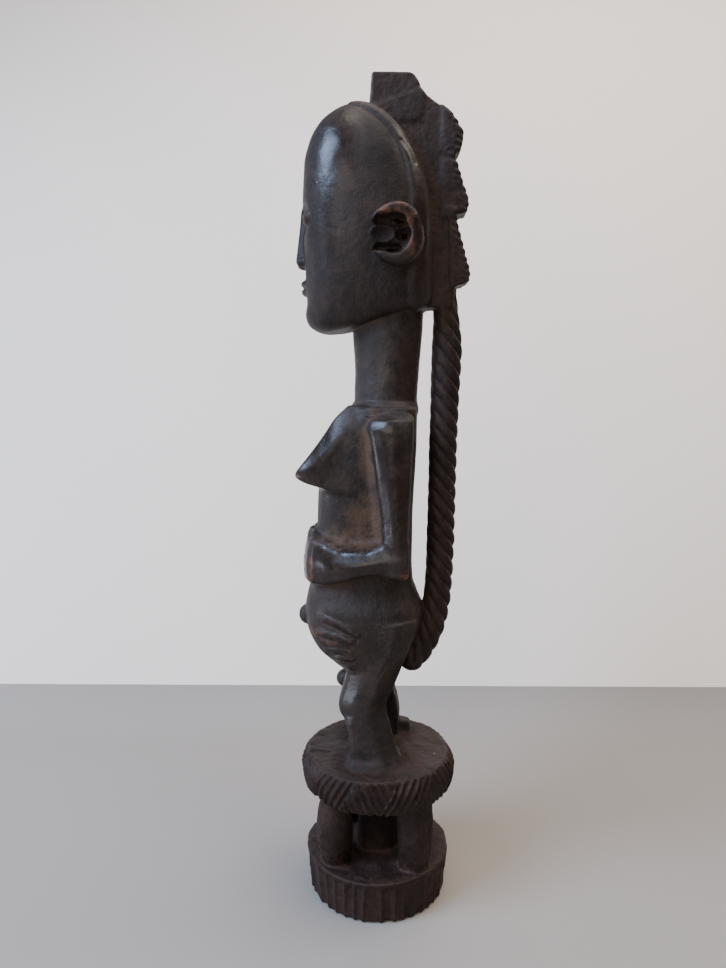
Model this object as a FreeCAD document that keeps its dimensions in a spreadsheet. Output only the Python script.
"""Carved female ancestor figure standing on a round stool, as a parametric FreeCAD document.

Units are millimetres, +Z is up, the figure faces -Y and its left side is +X.  The origin is the
centre of the flat underside of the stool.  The figure is carved from one block, so its pieces are
the parts a carver would name, each a closed solid that meets its neighbours face to face.
"""
import FreeCAD, Part
import math
import os
import Sketcher

Vector = FreeCAD.Vector
Rotation = FreeCAD.Rotation
doc = FreeCAD.newDocument("AncestorFigure")
sheet = doc.addObject("Spreadsheet::Sheet", "Sizes")
pieces = {}          # node name -> the document object that is exported under that name
next_row = 1


# ---------------------------------------------------------------- driving dimensions

def cell(alias, number):
    """Put one driving dimension in the sheet, as text, and give its cell the alias."""
    global next_row
    sheet.set(f"A{next_row}", alias)
    sheet.set(f"B{next_row}", str(number))
    sheet.setAlias(f"B{next_row}", alias)
    next_row += 1


STOOL = {
    "base_radius": 31.0,           # lower disc, over its flutes
    "base_thickness": 18.5,
    "base_chamfer": 1.0,
    "flute_count": 38,
    "flute_radius": 1.7,
    "platform_radius": 34.0,
    "platform_underside": 48.1,    # height of the platform's lower face
    "platform_top": 62.7,
    "platform_chamfer": 1.6,
    "core_radius": 9.0,            # column in the middle of the stool
    "pillar_foot_radius": 6.2,
    "pillar_waist_radius": 7.4,
    "pillar_head_radius": 6.8,
}
# Where each pillar stands: distance from the middle and bearing, at its foot and at its head.
PILLARS = {
    "stool_pillar_front_left": {"foot_reach": 23.0, "head_reach": 23.4, "bearing": -52.0},
    "stool_pillar_back_left": {"foot_reach": 23.2, "head_reach": 23.4, "bearing": 40.0},
    "stool_pillar_back_right": {"foot_reach": 22.6, "head_reach": 23.0, "bearing": 132.0},
    "stool_pillar_front_right": {"foot_reach": 22.6, "head_reach": 23.0, "bearing": 219.0},
}
FEET = {
    "foot_length": 29.0,
    "foot_toe_width": 12.5,
    "foot_heel_width": 8.5,
    "foot_thickness": 4.0,
    "foot_fillet": 1.2,
    "left_heel_x": 8.0,
    "left_heel_y": 14.5,
    "left_toe_out": 24.0,          # degrees away from straight ahead
    "right_heel_x": 15.5,
    "right_heel_y": 17.0,
    "right_toe_out": 12.0,
}
EARS = {
    "ear_y": 4.6,
    "ear_z": 276.8,
    "ear_radius": 10.4,
    "ear_hollow_radius": 8.0,
    "ear_floor_x": 24.6,           # outer face of the hollow's floor
    "ear_rim_x": 27.6,             # outer face of the rim
    "ear_open_y": -3.6,            # the rim stops here and leaves the hollow open to the front
    "ear_lobe_radius": 2.5,
    "ear_lobe_z": 275.6,
    "ear_lobe_length": 9.0,
}
FACE = {
    "eye_x": 9.0,
    "eye_y": -30.6,
    "eye_z": 285.0,
    "eye_half_width": 5.2,
    "eye_half_height": 1.9,
    "eye_half_depth": 2.6,
    "lip_y": -31.2,
    "lip_z": 259.0,
    "lip_half_width": 6.0,
    "lip_half_height": 1.5,
    "lip_half_depth": 2.6,
}
KNOBS = {
    "navel_y": -30.9,
    "navel_z": 122.5,
    "navel_radius": 3.7,
    "loin_y": -14.0,
    "loin_z": 94.1,
    "loin_radius": 4.1,
}
CREST = {
    "band_half_width": 13.0,
    "tab_half_width": 5.2,
    "plate_half_width": 5.8,
    "lappet_half_width": 7.6,
}
BRAID = {
    "braid_radius": 5.7,
    "braid_top_y": 28.1,
    "braid_top_z": 261.5,
    "braid_bend_y": 25.6,          # where the straight run ends and the curl under begins
    "braid_bend_z": 126.5,
    "braid_bend_radius": 24.0,
    "braid_bend_turn": 42.0,
    "braid_tail": 7.5,             # straight run at the very end
}
for group in (STOOL, FEET, EARS, FACE, KNOBS, CREST, BRAID):
    for alias, number in group.items():
        cell(alias, number)
for name, places in PILLARS.items():
    for field, number in places.items():
        cell(f"{name}_{field}", number)

# Level sections, from the bottom up: height, middle in X, half width, front Y, back Y, fullness.
# A fullness of 0.55 is an ellipse and 0.8 is close to a rectangle.
LEVEL_FIELDS = ("height", "middle", "half_width", "front", "back", "fullness")
LEVEL_SECTIONS = {
    "left_shin": [
        (62.7, 13.8, 7.2, -13.2, 8.6, 0.66),
        (67.5, 13.6, 7.0, -13.0, 7.4, 0.66),
        (75.5, 13.0, 7.2, -14.2, 5.0, 0.66),
        (86.5, 12.4, 8.0, -16.6, 4.0, 0.64),
    ],
    "right_shin": [
        (62.7, -15.2, 7.2, -11.0, 11.4, 0.66),
        (67.5, -14.8, 7.0, -11.0, 10.8, 0.66),
        (75.5, -14.0, 7.2, -12.6, 10.4, 0.66),
        (86.5, -12.8, 8.0, -15.6, 10.2, 0.64),
    ],
    "left_thigh": [
        (86.5, 12.4, 8.0, -16.6, 4.0, 0.64),
        (95.5, 12.0, 8.8, -15.6, 7.6, 0.62),
        (103.5, 11.6, 9.6, -14.6, 11.0, 0.60),
        (117.5, 11.0, 10.4, -13.0, 15.0, 0.60),
    ],
    "right_thigh": [
        (86.5, -12.8, 8.0, -15.6, 10.2, 0.64),
        (95.5, -12.2, 8.8, -15.2, 10.2, 0.62),
        (103.5, -11.6, 9.6, -14.6, 12.0, 0.60),
        (117.5, -11.0, 10.4, -13.0, 15.0, 0.60),
    ],
    "hips": [
        (92.5, 0.0, 7.0, -10.5, 2.0, 0.60),
        (100.0, 0.0, 14.5, -14.8, 8.6, 0.60),
        (110.1, 0.0, 20.2, -26.6, 15.8, 0.62),
        (119.5, 0.0, 21.6, -30.6, 18.6, 0.62),
        (129.5, 0.0, 20.0, -31.2, 17.8, 0.64),
        (139.5, 0.0, 17.4, -28.6, 14.4, 0.68),
    ],
    "torso": [
        (139.5, 0.0, 17.4, -28.6, 14.4, 0.68),
        (151.5, 0.0, 16.2, -27.0, 13.8, 0.70),
        (165.5, 0.0, 16.4, -26.0, 13.9, 0.70),
        (179.5, 0.0, 17.8, -25.9, 14.3, 0.70),
        (195.5, 0.0, 19.6, -20.2, 15.0, 0.70),
        (211.5, 0.0, 20.4, -15.6, 15.4, 0.70),
    ],
    "neck": [
        (211.5, 0.0, 13.8, -11.6, 15.4, 0.58),
        (216.5, 0.0, 12.9, -10.9, 15.5, 0.57),
        (235.5, 0.0, 12.7, -11.1, 16.5, 0.57),
        (257.5, 0.0, 13.4, -11.6, 17.6, 0.57),
    ],
    "head_mass": [
        (244.5, 0.0, 13.5, -28.2, 9.0, 0.60),
        (251.5, 0.0, 18.0, -31.0, 17.8, 0.62),
        (263.5, 0.0, 21.0, -32.2, 19.4, 0.64),
        (279.5, 0.0, 23.6, -32.4, 19.8, 0.64),
        (295.5, 0.0, 24.4, -32.2, 18.0, 0.62),
        (309.5, 0.0, 22.8, -31.2, 13.8, 0.60),
        (320.5, 0.0, 18.4, -27.0, 7.4, 0.57),
        (328.0, 0.0, 12.0, -19.6, 0.6, 0.56),
        (331.9, 0.0, 3.6, -11.4, -5.4, 0.55),
    ],
    "left_upper_arm": [
        (142.9, 23.6, 4.6, 0.0, 10.4, 0.66),
        (161.5, 23.6, 4.3, 1.0, 11.4, 0.70),
        (185.5, 23.5, 4.4, -2.0, 12.6, 0.70),
        (209.1, 23.2, 5.0, -5.4, 13.4, 0.70),
    ],
}
# Upright sections along a limb: middle X, Y, Z, yaw of the section, half width, half height, fullness.
UPRIGHT_FIELDS = ("x", "y", "z", "yaw", "half_width", "half_height", "fullness")
UPRIGHT_SECTIONS = {
    "left_breast": [
        (10.8, -13.4, 194.2, 0.0, 8.4, 15.6, 0.66),
        (11.2, -22.0, 189.0, 0.0, 6.6, 10.4, 0.62),
        (11.6, -29.0, 185.8, 0.0, 4.2, 5.8, 0.58),
        (11.8, -34.4, 183.9, 0.0, 1.4, 1.6, 0.55),
    ],
    "left_forearm": [
        (22.8, 6.0, 150.1, 0.0, 5.0, 7.0, 0.68),
        (22.6, -6.0, 149.3, 6.0, 5.0, 6.2, 0.68),
        (20.6, -18.0, 148.9, 24.0, 4.6, 6.4, 0.68),
        (14.0, -27.0, 149.9, 55.0, 4.0, 9.0, 0.68),
    ],
    "left_hand": [
        (14.0, -27.0, 149.9, 55.0, 4.0, 9.0, 0.68),
        (8.0, -28.8, 150.8, 78.0, 3.3, 10.9, 0.70),
        (1.2, -28.9, 151.1, 90.0, 2.6, 10.2, 0.70),
    ],
    "nose": [
        (0.0, -28.0, 276.5, 0.0, 5.2, 12.0, 0.58),
        (0.0, -33.6, 271.5, 0.0, 3.6, 6.6, 0.58),
        (0.0, -35.4, 268.1, 0.0, 1.6, 2.2, 0.56),
    ],
}
# Outlines in the plane of symmetry: Y, Z of each corner.
OUTLINES = {
    "hairline_band": [
        (-7.5, 330.0), (-3.6, 333.9), (3.0, 329.1), (9.2, 322.7), (14.4, 315.1), (18.0, 306.9),
        (20.8, 294.5), (22.0, 281.5), (22.2, 253.1), (17.0, 253.1), (16.6, 281.5), (13.6, 300.5),
        (5.6, 317.1),
    ],
    "crest_tab": [(-5.9, 332.7), (-5.2, 343.0), (11.0, 343.0), (12.2, 341.8), (15.3, 340.3)],
    "crest_plate": [
        (-2.0, 334.1), (15.3, 340.3), (26.5, 330.1), (28.3, 313.8), (29.6, 289.5), (29.3, 253.1),
        (20.5, 253.1), (19.8, 281.5), (16.2, 303.5), (8.0, 319.5), (0.0, 329.5),
    ],
    "crest_lappet_upper": [(26.5, 330.1), (29.2, 327.7), (32.6, 321.2), (31.1, 315.8), (28.3, 313.8)],
    "crest_lappet_middle": [(28.3, 313.8), (31.4, 304.5), (35.2, 294.9), (34.2, 291.1), (29.6, 289.5)],
    "crest_lappet_lower": [(29.6, 289.5), (33.2, 278.5), (36.1, 266.5), (35.0, 261.1), (29.4, 261.5)],
}
for name, sections in {**LEVEL_SECTIONS, **UPRIGHT_SECTIONS}.items():
    fields = LEVEL_FIELDS if name in LEVEL_SECTIONS else UPRIGHT_FIELDS
    for index, section in enumerate(sections):
        for field, number in zip(fields, section):
            cell(f"{name}_{index}_{field}", number)
for name, corners in OUTLINES.items():
    for index, (y, z) in enumerate(corners):
        cell(f"{name}_{index}_y", y)
        cell(f"{name}_{index}_z", z)
doc.recompute()


def size(alias):
    """A driving dimension as a number."""
    return float(sheet.get(alias))


# ---------------------------------------------------------------- ways of making a piece

def bind(item, **expressions):
    """Bind properties to expressions over the sheet's aliases; a double underscore is a dot."""
    for prop, expression in expressions.items():
        item.setExpression(prop.replace("__", "."), expression)


def plane_of(body, role):
    """One of the body's own origin planes."""
    for feature in body.Origin.OriginFeatures:
        if feature.Role == role:
            return feature
    raise ValueError(role)


def sketch_on(body, role, name, offset=None):
    """A sketch on one of the body's origin planes, moved along its normal by an expression."""
    sketch = body.newObject("Sketcher::SketchObject", name)
    sketch.AttachmentSupport = [(plane_of(body, role), "")]
    sketch.MapMode = "FlatFace"
    if offset:
        sketch.setExpression("AttachmentOffset.Base.z", offset)
    return sketch


def add_circle(sketch, radius, x=None, y=None):
    """A circle whose radius and middle are bound to expressions."""
    at = Vector(5.0 if x else 0.0, 5.0 if y else 0.0, 0)
    circle = sketch.addGeometry(Part.Circle(at, Vector(0, 0, 1), 5.0), False)
    sketch.addConstraint(Sketcher.Constraint("Radius", circle, 5.0))
    sketch.setExpression("Constraints[0]", radius)
    if x is None:
        sketch.addConstraint(Sketcher.Constraint("Coincident", circle, 3, -1, 1))
        return
    sketch.addConstraint(Sketcher.Constraint("DistanceX", -1, 1, circle, 3, 5.0))
    sketch.setExpression("Constraints[1]", x)
    sketch.addConstraint(Sketcher.Constraint("DistanceY", -1, 1, circle, 3, 5.0))
    sketch.setExpression("Constraints[2]", y)


def add_polygon(sketch, corners, expressions):
    """A closed polygon whose corners are bound, pair by pair, to expressions."""
    count = len(corners)
    for index in range(count):
        start = Vector(*corners[index], 0)
        end = Vector(*corners[(index + 1) % count], 0)
        sketch.addGeometry(Part.LineSegment(start, end), False)
    for index in range(count):
        sketch.addConstraint(Sketcher.Constraint("Coincident", index, 2, (index + 1) % count, 1))
    for index in range(count):
        for kind, number, expression in zip(("DistanceX", "DistanceY"), corners[index], expressions[index]):
            which = sketch.addConstraint(Sketcher.Constraint(kind, -1, 1, index, 1, number))
            sketch.setExpression(f"Constraints[{which}]", expression)


def outline_pad(name, half_width):
    """A slab whose outline is a table of corners, padded to both sides of the plane of symmetry."""
    body = doc.addObject("PartDesign::Body", name)
    sketch = sketch_on(body, "YZ_Plane", f"{name}_outline")
    corners = OUTLINES[name]
    cells = [(f"Sizes.{name}_{i}_y", f"Sizes.{name}_{i}_z") for i in range(len(corners))]
    add_polygon(sketch, corners, cells)
    pad = body.newObject("PartDesign::Pad", f"{name}_pad")
    pad.Profile = sketch
    pad.Midplane = True
    bind(pad, Length=f"2 * Sizes.{half_width}")
    sketch.Visibility = False
    return body


def rounded_wire(middle, across, along, half_across, half_along, fullness):
    """A closed wire of four curves around a middle point; fullness makes it round or boxy."""
    wire_edges = []
    corners = [(1, 0), (0, 1), (-1, 0), (0, -1)]
    for (a0, b0), (a1, b1) in zip(corners, corners[1:] + corners[:1]):
        steps = [
            (a0, b0),
            (a0 + fullness * a1, b0 + fullness * b1),
            (a1 + fullness * a0, b1 + fullness * b0),
            (a1, b1),
        ]
        curve = Part.BezierCurve()
        curve.setPoles([middle + across * (half_across * a) + along * (half_along * b) for a, b in steps])
        wire_edges.append(curve.toShape())
    return Part.Wire(wire_edges)


def section_object(name, wire):
    """One section of a loft, as an object of the document."""
    item = doc.addObject("Part::Feature", name)
    item.Shape = wire
    return item


def loft_through(name, sections):
    """A solid loft through section objects."""
    loft = doc.addObject("Part::Loft", name)
    loft.Sections = sections
    loft.Solid = True
    loft.Ruled = False
    loft.MaxDegree = 3
    return loft


def level_loft(name):
    """A loft through level sections, read from the sheet."""
    sections = []
    for index in range(len(LEVEL_SECTIONS[name])):
        height, middle, half_width, front, back, fullness = (
            size(f"{name}_{index}_{field}") for field in LEVEL_FIELDS)
        at = Vector(middle, (front + back) / 2, height)
        wire = rounded_wire(at, Vector(1, 0, 0), Vector(0, 1, 0), half_width, (back - front) / 2, fullness)
        sections.append(section_object(f"{name}_section_{index}", wire))
    return loft_through(f"{name}_form", sections)


def upright_loft(name):
    """A loft through upright sections along a limb, read from the sheet."""
    sections = []
    for index in range(len(UPRIGHT_SECTIONS[name])):
        x, y, z, yaw, half_width, half_height, fullness = (
            size(f"{name}_{index}_{field}") for field in UPRIGHT_FIELDS)
        across = Vector(math.cos(math.radians(yaw)), math.sin(math.radians(yaw)), 0)
        wire = rounded_wire(Vector(x, y, z), across, Vector(0, 0, 1), half_width, half_height, fullness)
        sections.append(section_object(f"{name}_section_{index}", wire))
    return loft_through(f"{name}_form", sections)


def mirrored(name, source):
    """The same form on the figure's right side."""
    mirror = doc.addObject("Part::Mirroring", name)
    mirror.Source = source
    mirror.Normal = Vector(1, 0, 0)
    mirror.Base = Vector(0, 0, 0)
    return mirror


def fused(name, *items):
    """Several forms made into one."""
    fuse = doc.addObject("Part::MultiFuse", name)
    fuse.Shapes = list(items)
    return fuse


def trimmed(name, form, *neighbours):
    """A form with its neighbours' forms taken out of it, so that they meet face to face."""
    for index, neighbour in enumerate(neighbours):
        cut = doc.addObject("Part::Cut", f"{name}_trim_{index}")
        cut.Base = form
        cut.Tool = neighbour
        form = cut
    return form


def keep(name, item):
    """Name the finished piece."""
    item.Label = name
    pieces[name] = item
    return item


# ---------------------------------------------------------------- the stool

def lower_disc():
    """The foot of the stool: a thick disc whose wall is fluted all round."""
    body = doc.addObject("PartDesign::Body", "lower_disc")
    outline = sketch_on(body, "XY_Plane", "lower_disc_outline")
    add_circle(outline, "Sizes.base_radius")
    pad = body.newObject("PartDesign::Pad", "lower_disc_pad")
    pad.Profile = outline
    bind(pad, Length="Sizes.base_thickness")
    doc.recompute()
    chamfer = body.newObject("PartDesign::Chamfer", "lower_disc_rims")
    chamfer.Base = (pad, ["Face2", "Face3"])
    bind(chamfer, Size="Sizes.base_chamfer")
    doc.recompute()
    solid_volume = body.Shape.Volume
    flute = sketch_on(body, "XY_Plane", "lower_disc_flute_outline")
    add_circle(flute, "Sizes.flute_radius", "Sizes.base_radius + 0.35 * Sizes.flute_radius", "0 * Sizes.flute_radius")
    pocket = body.newObject("PartDesign::Pocket", "lower_disc_flute")
    pocket.Profile = flute
    pocket.Type = "Length"
    pocket.Reversed = True
    bind(pocket, Length="Sizes.base_thickness")
    pattern = body.newObject("PartDesign::PolarPattern", "lower_disc_flutes")
    pattern.Originals = [pocket]
    pattern.Axis = (outline, ["N_Axis"])
    pattern.Angle = 360
    bind(pattern, Occurrences="Sizes.flute_count")
    body.Tip = pattern
    doc.recompute()
    print("flutes remove", round(solid_volume - body.Shape.Volume, 1), "mm3")
    return body


def platform_disc():
    """The seat of the stool, on which the figure stands."""
    body = doc.addObject("PartDesign::Body", "platform_disc")
    outline = sketch_on(body, "XY_Plane", "platform_outline", "Sizes.platform_underside")
    add_circle(outline, "Sizes.platform_radius")
    pad = body.newObject("PartDesign::Pad", "platform_pad")
    pad.Profile = outline
    bind(pad, Length="Sizes.platform_top - Sizes.platform_underside")
    doc.recompute()
    chamfer = body.newObject("PartDesign::Chamfer", "platform_rims")
    chamfer.Base = (pad, ["Face2", "Face3"])
    bind(chamfer, Size="Sizes.platform_chamfer")
    return body


def stool_core():
    """The thick column in the middle of the stool."""
    core = doc.addObject("Part::Cylinder", "stool_core")
    bind(core, Radius="Sizes.core_radius", Height="Sizes.platform_underside - Sizes.base_thickness",
         Placement__Base__z="Sizes.base_thickness")
    return core


def stool_pillar(name):
    """One outer pillar: three round sections, thickest half way up."""
    body = doc.addObject("PartDesign::Body", name)
    reach = {
        "foot": f"Sizes.{name}_foot_reach",
        "waist": f"(Sizes.{name}_foot_reach + Sizes.{name}_head_reach) / 2 + 1",
        "head": f"Sizes.{name}_head_reach",
    }
    height = {
        "foot": "Sizes.base_thickness",
        "waist": "(Sizes.base_thickness + Sizes.platform_underside) / 2",
        "head": "Sizes.platform_underside",
    }
    sketches = []
    for level in ("foot", "waist", "head"):
        sketch = sketch_on(body, "XY_Plane", f"{name}_{level}", height[level])
        add_circle(sketch, f"Sizes.pillar_{level}_radius", reach[level], "0 * Sizes.base_radius")
        sketches.append(sketch)
    loft = body.newObject("PartDesign::AdditiveLoft", f"{name}_loft")
    loft.Profile = sketches[0]
    loft.Sections = sketches[1:]
    bind(body, Placement__Rotation__Angle=f"Sizes.{name}_bearing")
    return body


def foot(side, mirror):
    """A low foot, wider at the toes, turned outwards about its heel."""
    body = doc.addObject("PartDesign::Body", f"{side}_foot_form")
    sketch = sketch_on(body, "XY_Plane", f"{side}_foot_outline")
    length, toe, heel = size("foot_length"), size("foot_toe_width"), size("foot_heel_width")
    corners = [(-heel / 2, 1.5), (-heel / 4, 3.0), (heel / 4, 3.0), (heel / 2, 1.5),
               (toe / 2, -length + 5), (toe / 4, -length), (-toe / 4, -length), (-toe / 2, -length + 5)]
    heel_out, toe_out = "Sizes.foot_heel_width / 2", "Sizes.foot_toe_width / 2"
    cells = [(f"-{heel_out}", "1.5"), (f"-{heel_out} / 2", "3.0"), (f"{heel_out} / 2", "3.0"),
             (heel_out, "1.5"), (toe_out, "5 - Sizes.foot_length"), (f"{toe_out} / 2", "-Sizes.foot_length"),
             (f"-{toe_out} / 2", "-Sizes.foot_length"), (f"-{toe_out}", "5 - Sizes.foot_length")]
    add_polygon(sketch, corners, cells)
    pad = body.newObject("PartDesign::Pad", f"{side}_foot_pad")
    pad.Profile = sketch
    bind(pad, Length="Sizes.foot_thickness")
    doc.recompute()
    top = max(range(len(pad.Shape.Faces)), key=lambda i: pad.Shape.Faces[i].CenterOfMass.z)
    fillet = body.newObject("PartDesign::Fillet", f"{side}_foot_edges")
    fillet.Base = (pad, [f"Face{top + 1}"])
    bind(fillet, Radius="Sizes.foot_fillet")
    bind(body, Placement__Base__x=f"{mirror} * Sizes.{side}_heel_x",
         Placement__Base__y=f"Sizes.{side}_heel_y - 3",
         Placement__Base__z="Sizes.platform_top",
         Placement__Rotation__Angle=f"{mirror} * Sizes.{side}_toe_out")
    return body


# ---------------------------------------------------------------- small forms of the figure

def ellipsoid(name, half_x, half_y, half_z, x, y, z):
    """An ellipsoid bound to expressions; Radius1 is its Z, Radius2 its X and Radius3 its Y."""
    item = doc.addObject("Part::Ellipsoid", name)
    item.Angle1 = -90
    item.Angle2 = 90
    item.Angle3 = 360
    bind(item, Radius1=half_z, Radius2=half_x, Radius3=half_y,
         Placement__Base__x=x, Placement__Base__y=y, Placement__Base__z=z)
    return item


def knob(name):
    """A small round knob on the front of the figure."""
    radius = f"Sizes.{name}_radius"
    return ellipsoid(f"{name}_knob_form", radius, radius, f"1.15 * {radius}",
                     "0 * Sizes.navel_radius", f"Sizes.{name}_y", f"Sizes.{name}_z")


def x_cylinder(name, radius, inner_x, outer_x):
    """A cylinder across the head, from one X to another, about the middle of the ear."""
    item = doc.addObject("Part::Cylinder", name)
    item.Placement = FreeCAD.Placement(Vector(0, 0, 0), Rotation(Vector(0, 1, 0), 90))
    bind(item, Radius=radius, Height=f"{outer_x} - {inner_x}", Placement__Base__x=inner_x,
         Placement__Base__y="Sizes.ear_y", Placement__Base__z="Sizes.ear_z")
    return item


def ear():
    """The left ear: a C-shaped rim, open to the front, with a rounded lobe in its hollow."""
    buried_x = "12"
    outer = x_cylinder("ear_outer", "Sizes.ear_radius", buried_x, "Sizes.ear_rim_x")
    hollow = x_cylinder("ear_hollow", "Sizes.ear_hollow_radius", "Sizes.ear_floor_x", "Sizes.ear_rim_x + 1")
    rim = trimmed("ear_rim", outer, hollow)
    opening = doc.addObject("Part::Box", "ear_opening")
    bind(opening, Length="20", Width="20", Height="13",
         Placement__Base__x="Sizes.ear_floor_x", Placement__Base__y="Sizes.ear_open_y - 20 + 1.5",
         Placement__Base__z="Sizes.ear_z - 8.5")
    open_rim = trimmed("ear_open_rim", rim, opening)
    lobe = doc.addObject("Part::Cylinder", "ear_lobe")
    lobe.Placement = FreeCAD.Placement(Vector(0, 0, 0), Rotation(Vector(1, 0, 0), -90))
    bind(lobe, Radius="Sizes.ear_lobe_radius", Height="Sizes.ear_lobe_length",
         Placement__Base__x="Sizes.ear_floor_x", Placement__Base__y="Sizes.ear_open_y - 1",
         Placement__Base__z="Sizes.ear_lobe_z")
    return fused("ear_form", open_rim, lobe)


def braid():
    """The long braid: one straight run down the back and a gentle curl under at its end."""
    top = Vector(0, size("braid_top_y"), size("braid_top_z"))
    bend = Vector(0, size("braid_bend_y"), size("braid_bend_z"))
    down = (bend - top).normalize()
    forward = Vector(0, down.z, -down.y)
    radius = size("braid_bend_radius")
    turn = math.radians(size("braid_bend_turn"))

    def on_bend(angle):
        return bend + down * (radius * math.sin(angle)) + forward * (radius * (1 - math.cos(angle)))

    heading = down * math.cos(turn) + forward * math.sin(turn)
    tip = on_bend(turn) + heading * size("braid_tail")
    path = Part.Wire([
        Part.LineSegment(top, bend).toShape(),
        Part.Arc(bend, on_bend(turn / 2), on_bend(turn)).toShape(),
        Part.LineSegment(on_bend(turn), tip).toShape(),
    ])
    profile = Part.Wire([Part.Circle(top, down, size("braid_radius")).toShape()])
    item = doc.addObject("Part::Feature", "braid_form")
    item.Shape = path.makePipeShell([profile], True, False)
    expected = math.pi * size("braid_radius") ** 2 * path.Length
    print("braid volume", round(item.Shape.Volume, 1), "expected about", round(expected, 1))
    return item


# ---------------------------------------------------------------- assembly

keep("lower_disc", lower_disc())
keep("stool_core", stool_core())
for pillar_name in PILLARS:
    keep(pillar_name, stool_pillar(pillar_name))
keep("platform_disc", platform_disc())

hips = keep("hips", level_loft("hips"))
torso = keep("torso", level_loft("torso"))
for side, mirror in (("left", 1), ("right", -1)):
    sole = keep(f"{side}_foot", foot(side, mirror))
    keep(f"{side}_shin", trimmed(f"{side}_shin", level_loft(f"{side}_shin"), sole))
    keep(f"{side}_thigh", trimmed(f"{side}_thigh", level_loft(f"{side}_thigh"), hips))
for name in ("navel", "loin"):
    thighs = [pieces["left_thigh"], pieces["right_thigh"]] if name == "loin" else []
    keep(f"{name}_knob", trimmed(f"{name}_knob", knob(name), hips, *thighs))

arm_forms = {name: {"left": level_loft(f"left_{name}")} for name in ("upper_arm",)}
arm_forms.update({name: {"left": upright_loft(f"left_{name}")} for name in ("breast", "forearm", "hand")})
for name, forms in arm_forms.items():
    forms["right"] = mirrored(f"right_{name}_form", forms["left"])
for side in ("left", "right"):
    upper_arm, breast = arm_forms["upper_arm"][side], arm_forms["breast"][side]
    forearm, hand = arm_forms["forearm"][side], arm_forms["hand"][side]
    keep(f"{side}_breast", trimmed(f"{side}_breast", breast, torso))
    keep(f"{side}_upper_arm", trimmed(f"{side}_upper_arm", upper_arm, torso, hips))
    keep(f"{side}_hand", trimmed(f"{side}_hand", hand, torso, hips))
    keep(f"{side}_forearm", trimmed(f"{side}_forearm", forearm, torso, hips, upper_arm))

eyes = [ellipsoid(f"eye_{side}", "Sizes.eye_half_width", "Sizes.eye_half_depth", "Sizes.eye_half_height",
                  f"{mirror} * Sizes.eye_x", "Sizes.eye_y", "Sizes.eye_z")
        for side, mirror in (("left", 1), ("right", -1))]
lips = [ellipsoid(f"lip_{which}", "Sizes.lip_half_width", "Sizes.lip_half_depth", "Sizes.lip_half_height",
                  "0 * Sizes.eye_x", "Sizes.lip_y", f"Sizes.lip_z + {shift} * Sizes.lip_half_height")
        for which, shift in (("upper", 0.8), ("lower", -0.8))]
head = keep("head", fused("head", level_loft("head_mass"), upright_loft("nose"), *eyes, *lips))
keep("neck", trimmed("neck", level_loft("neck"), head))
left_ear = ear()
keep("left_ear", trimmed("left_ear", left_ear, head))
keep("right_ear", trimmed("right_ear", mirrored("right_ear_form", left_ear), head))

band = outline_pad("hairline_band", "band_half_width")
plate = outline_pad("crest_plate", "plate_half_width")
tab = outline_pad("crest_tab", "tab_half_width")
keep("hairline_band", trimmed("hairline_band", band, head))
keep("crest_tab", trimmed("crest_tab", tab, head, band))
keep("crest_plate", trimmed("crest_plate", plate, head, band, tab))
lappets = [outline_pad(f"crest_lappet_{which}", "lappet_half_width") for which in ("upper", "middle", "lower")]
for lappet in lappets:
    keep(lappet.Name, trimmed(lappet.Name, lappet, plate, tab))
keep("braid", trimmed("braid", braid(), head, band, plate, hips, *lappets[2:]))


# ---------------------------------------------------------------- checks and export

doc.recompute()
for item in doc.Objects:
    problems = [state for state in item.State if state in ("Invalid", "Error")]
    if problems:
        raise RuntimeError(f"{item.Name}: {problems}")
for name, item in pieces.items():
    if item.Shape.isNull() or not item.Shape.isValid():
        raise RuntimeError(f"{name}: shape is null or not valid")

os.makedirs("parts", exist_ok=True)
for name, item in pieces.items():
    item.Shape.exportStep(f"parts/{name}.step")
    box = item.Shape.optimalBoundingBox()
    print(f"{name:26s} solids {len(item.Shape.Solids)} volume {item.Shape.Volume:9.1f}  "
          f"X {box.XMin:6.1f} {box.XMax:6.1f}  Y {box.YMin:6.1f} {box.YMax:6.1f}  "
          f"Z {box.ZMin:6.1f} {box.ZMax:6.1f}")
